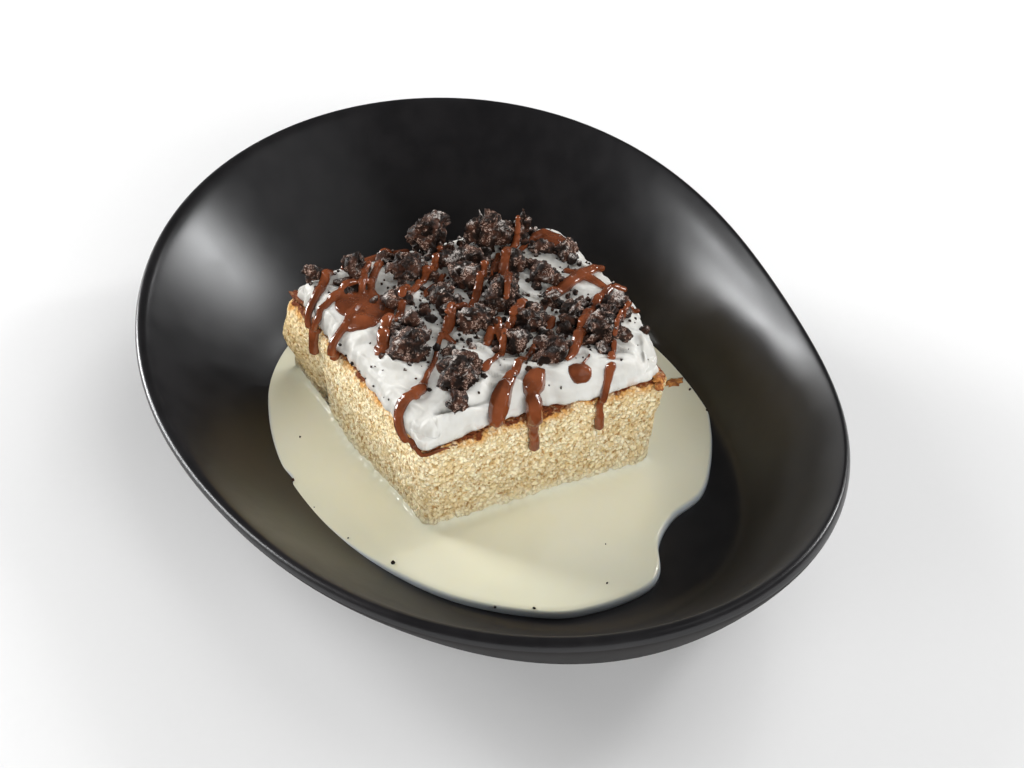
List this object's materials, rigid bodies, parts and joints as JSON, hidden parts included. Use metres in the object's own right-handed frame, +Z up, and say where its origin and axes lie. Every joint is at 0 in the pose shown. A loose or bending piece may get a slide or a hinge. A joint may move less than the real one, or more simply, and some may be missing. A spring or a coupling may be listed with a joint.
{
  "type": "milk cake",
  "caption": "Slice of milk-soaked sponge with whipped cream, chocolate drizzle and broken cookie, standing in a pool of milk in an oval bowl with a wavy rim.",
  "frame": {"origin": "on the table, under the middle of the bowl's outline", "axes": "+Y along the bowl's long axis, +Z up; the slice's cut front faces -Y and its left side -X"},
  "size_m": [0.1982, 0.2808, 0.0597],
  "materials": {
    "bowl": "satin black glaze",
    "milk": "smooth, wet, ivory",
    "sponge": "open pale yellow crumb, soaked at its foot and browned on top",
    "cream": "soft white whipped cream with glossy milk chocolate drizzle",
    "cookie": "dark broken cookie with pale grains"
  },
  "bodies": {
    "root": {"bowl": "bowl", "milk": "milk", "sponge": "sponge", "cream": "cream", "cookie_01": "cookie", "cookie_02": "cookie", "cookie_03": "cookie", "cookie_04": "cookie", "cookie_05": "cookie", "cookie_06": "cookie", "cookie_07": "cookie", "cookie_08": "cookie", "cookie_09": "cookie", "cookie_10": "cookie", "cookie_11": "cookie", "cookie_12": "cookie", "cookie_13": "cookie", "cookie_14": "cookie", "cookie_15": "cookie", "cookie_16": "cookie", "cookie_17": "cookie", "cookie_18": "cookie", "cookie_19": "cookie", "cookie_20": "cookie", "cookie_21": "cookie", "cookie_22": "cookie", "cookie_23": "cookie", "cookie_24": "cookie", "cookie_25": "cookie", "cookie_26": "cookie", "cookie_27": "cookie", "cookie_28": "cookie", "cookie_29": "cookie"}
  },
  "joints": []
}
